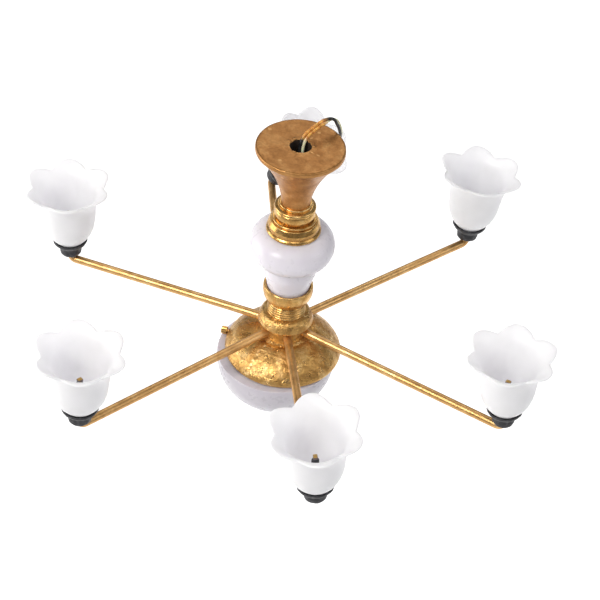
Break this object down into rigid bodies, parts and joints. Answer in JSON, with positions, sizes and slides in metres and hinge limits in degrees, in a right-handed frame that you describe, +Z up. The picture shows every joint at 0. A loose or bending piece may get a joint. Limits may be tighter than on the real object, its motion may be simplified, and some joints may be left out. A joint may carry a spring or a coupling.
{
  "type": "miniature chandelier",
  "caption": "Dolls' house ceiling light with a gilt turned column, thin tube arms that swivel, white tulip shades and a white bowl under a domed dish.",
  "frame": {"origin": "centre of the canopy's flat top, the face held against the ceiling", "axes": "+Z up along the column; the arms leave the hub at about 30 degrees from +X and every 60 degrees"},
  "size_m": [0.0759, 0.0794, 0.0505],
  "materials": {
    "gilt": "antique gold paint, satin, slightly uneven",
    "gilt_bright": "bright antique gold, lightly hammered",
    "gilt_hammered": "hammered bright gold",
    "gilt_tube": "gold painted tube, fine grain",
    "brass_tube": "plain brass",
    "white_resin": "milky translucent white, smooth",
    "shade_white": "milky translucent white, frosted",
    "black_plastic": "black, slightly rough",
    "led_yellow": "yellow phosphor",
    "lead_clear": "thin insulated wire, gold and black strands",
    "tie_white": "soft white band",
    "plug_white": "moulded off-white plastic",
    "pin_metal": "bright pin"
  },
  "bodies": {
    "column": {"canopy": "gilt", "upper_bead": "gilt_bright", "lower_bead": "gilt_bright", "vase": "white_resin", "lower_cup": "gilt_bright", "ribbed_collar": "gilt", "hub": "gilt_bright", "stem": "brass_tube", "stem_washer": "brass_tube", "stem_nut": "brass_tube", "dish": "gilt_hammered", "lead_splice": "black_plastic", "lead_tube": "lead_clear", "lead_hank": "lead_clear", "lead_tail": "lead_clear", "hank_tie": "tie_white", "plug_body": "plug_white", "plug_pins": "pin_metal"},
    "bowl_body": {"bowl": "white_resin"},
    "screw": {"bowl_screw": "gilt_bright"},
    "lamp_arm_1": {"arm_1": "gilt_tube", "arm_lead_1": "lead_clear", "lamp_holder_1": "black_plastic", "led_1": "led_yellow", "shade_1": "shade_white"},
    "lamp_arm_2": {"arm_2": "gilt_tube", "arm_lead_2": "lead_clear", "lamp_holder_2": "black_plastic", "led_2": "led_yellow", "shade_2": "shade_white"},
    "lamp_arm_3": {"arm_3": "gilt_tube", "arm_lead_3": "lead_clear", "lamp_holder_3": "black_plastic", "led_3": "led_yellow", "shade_3": "shade_white"},
    "lamp_arm_4": {"arm_4": "gilt_tube", "arm_lead_4": "lead_clear", "lamp_holder_4": "black_plastic", "led_4": "led_yellow", "shade_4": "shade_white"},
    "lamp_arm_5": {"arm_5": "gilt_tube", "arm_lead_5": "lead_clear", "lamp_holder_5": "black_plastic", "led_5": "led_yellow", "shade_5": "shade_white"},
    "lamp_arm_6": {"arm_6": "gilt_tube", "arm_lead_6": "lead_clear", "lamp_holder_6": "black_plastic", "led_6": "led_yellow", "shade_6": "shade_white"}
  },
  "joints": [
    {"name": "bowl_drop", "type": "slide", "parent": "column", "child": "bowl_body", "axis": [0, 0, -1], "range_m": [0, 0.012]},
    {"name": "bowl_screw_turn", "type": "hinge", "parent": "column", "child": "screw", "pos_m": [-0.00793, 0.00305, -0.03766], "axis": [-0.9336, 0.3584, 0], "continuous": true},
    {"name": "arm_swivel_1", "type": "hinge", "parent": "column", "child": "lamp_arm_1", "pos_m": [0, 0, -0.0332], "axis": [-0.8746, 0.4828, -0.0444], "range_deg": [-30, 30]},
    {"name": "arm_swivel_2", "type": "hinge", "parent": "column", "child": "lamp_arm_2", "pos_m": [0, 0, -0.0332], "axis": [-0.8513, -0.5237, -0.0306], "range_deg": [-30, 30]},
    {"name": "arm_swivel_3", "type": "hinge", "parent": "column", "child": "lamp_arm_3", "pos_m": [0, 0, -0.0332], "axis": [0.014, -0.9996, 0.025], "range_deg": [-34.5, 25.5]},
    {"name": "arm_swivel_4", "type": "hinge", "parent": "column", "child": "lamp_arm_4", "pos_m": [0, 0, -0.0332], "axis": [0.8234, -0.5638, -0.0639], "range_deg": [-30, 30]},
    {"name": "arm_swivel_5", "type": "hinge", "parent": "column", "child": "lamp_arm_5", "pos_m": [0, 0, -0.0332], "axis": [0.8561, 0.5165, -0.0167], "range_deg": [-30, 30]},
    {"name": "arm_swivel_6", "type": "hinge", "parent": "column", "child": "lamp_arm_6", "pos_m": [0, 0, -0.0332], "axis": [0.0384, 0.9984, -0.0417], "range_deg": [-57, 3]}
  ]
}
